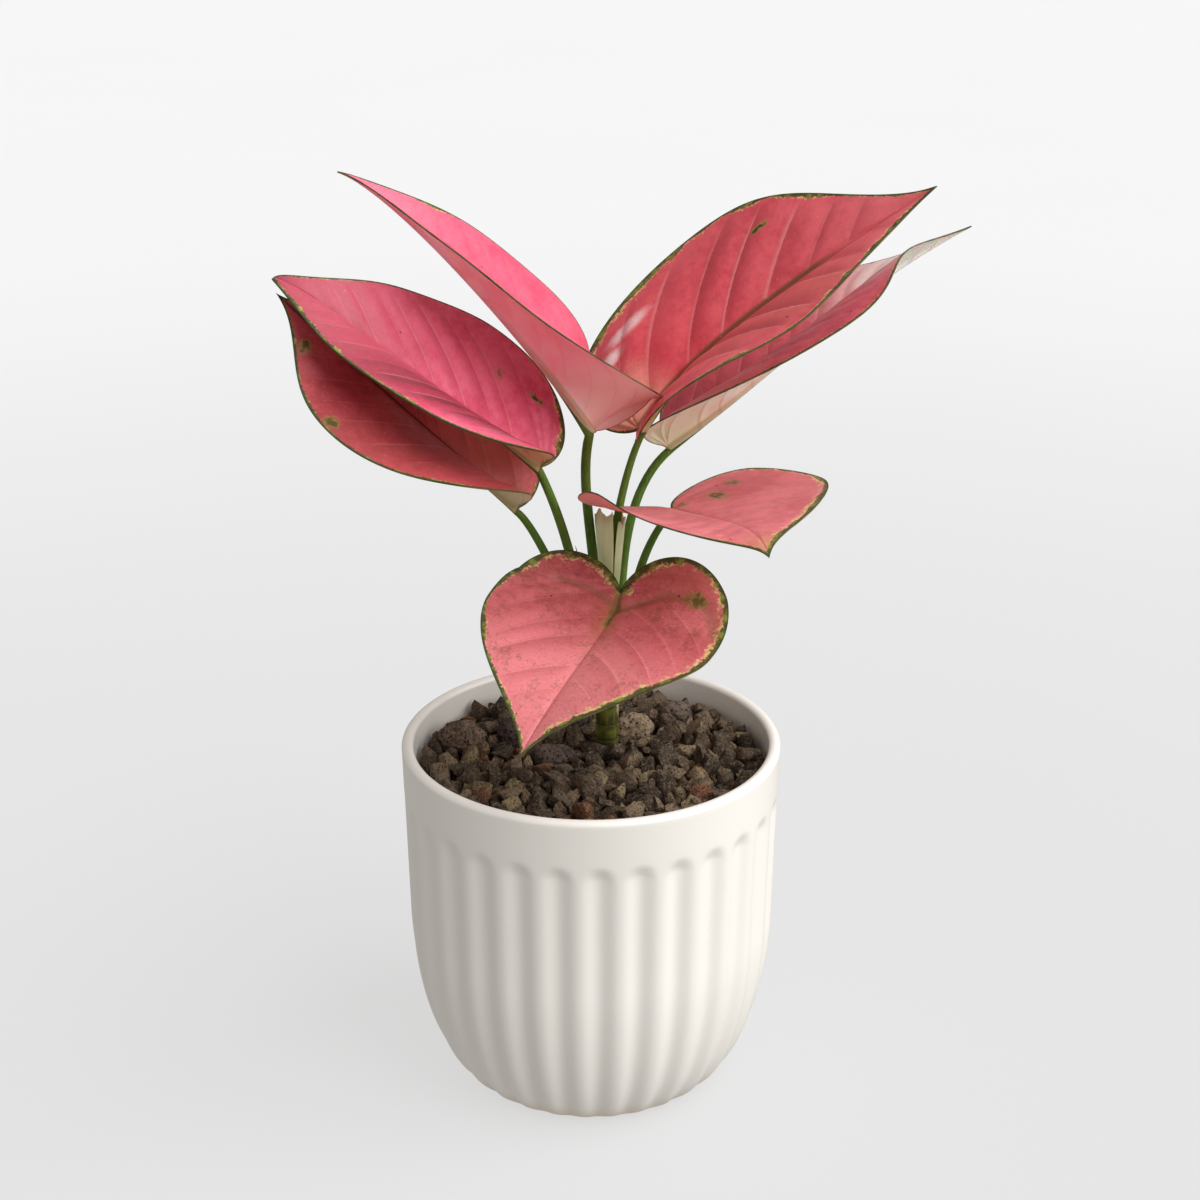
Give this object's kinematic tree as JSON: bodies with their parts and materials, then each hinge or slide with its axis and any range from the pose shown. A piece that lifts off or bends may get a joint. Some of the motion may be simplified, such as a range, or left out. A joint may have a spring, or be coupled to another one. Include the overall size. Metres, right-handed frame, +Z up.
{
  "type": "potted aroid house plant",
  "caption": "Small Chinese evergreen with pointed pink leaves on arching stalks, planted in lava gravel in a round fluted white ceramic pot.",
  "frame": {"origin": "centre of the pot's flat base, on the surface it stands on", "axes": "+Z up along the pot's axis, -Y towards the side that is looked at, +X to that viewer's right"},
  "size_m": [0.2353, 0.1641, 0.321],
  "materials": {
    "pot_glaze": "satin",
    "lava_gravel": "matte",
    "lava_stone": "matte",
    "cane_skin": "satin",
    "leaf_stalk": "satin",
    "leaf_blade": "satin",
    "papery_sheath": "matte",
    "dry_scale": "matte"
  },
  "bodies": {
    "root": {"pot": "pot_glaze", "gravel_bed": "lava_gravel", "cane": "cane_skin", "stone_brown": "lava_stone", "stone_dark": "lava_stone", "stone_slab": "lava_stone", "stone_tan": "lava_stone", "stone_behind": "lava_stone", "stone_right": "lava_stone", "stalk_left_upper": "leaf_stalk", "blade_left_upper": "leaf_blade", "stalk_left_lower": "leaf_stalk", "blade_left_lower": "leaf_blade", "stalk_centre": "leaf_stalk", "blade_centre": "leaf_blade", "stalk_right_upper": "leaf_stalk", "blade_right_upper": "leaf_blade", "stalk_right_lower": "leaf_stalk", "blade_right_lower": "leaf_blade", "stalk_small_right": "leaf_stalk", "blade_small_right": "leaf_blade", "stalk_front": "leaf_stalk", "blade_front": "leaf_blade", "sheath": "papery_sheath", "dry_scale": "dry_scale"}
  },
  "joints": []
}
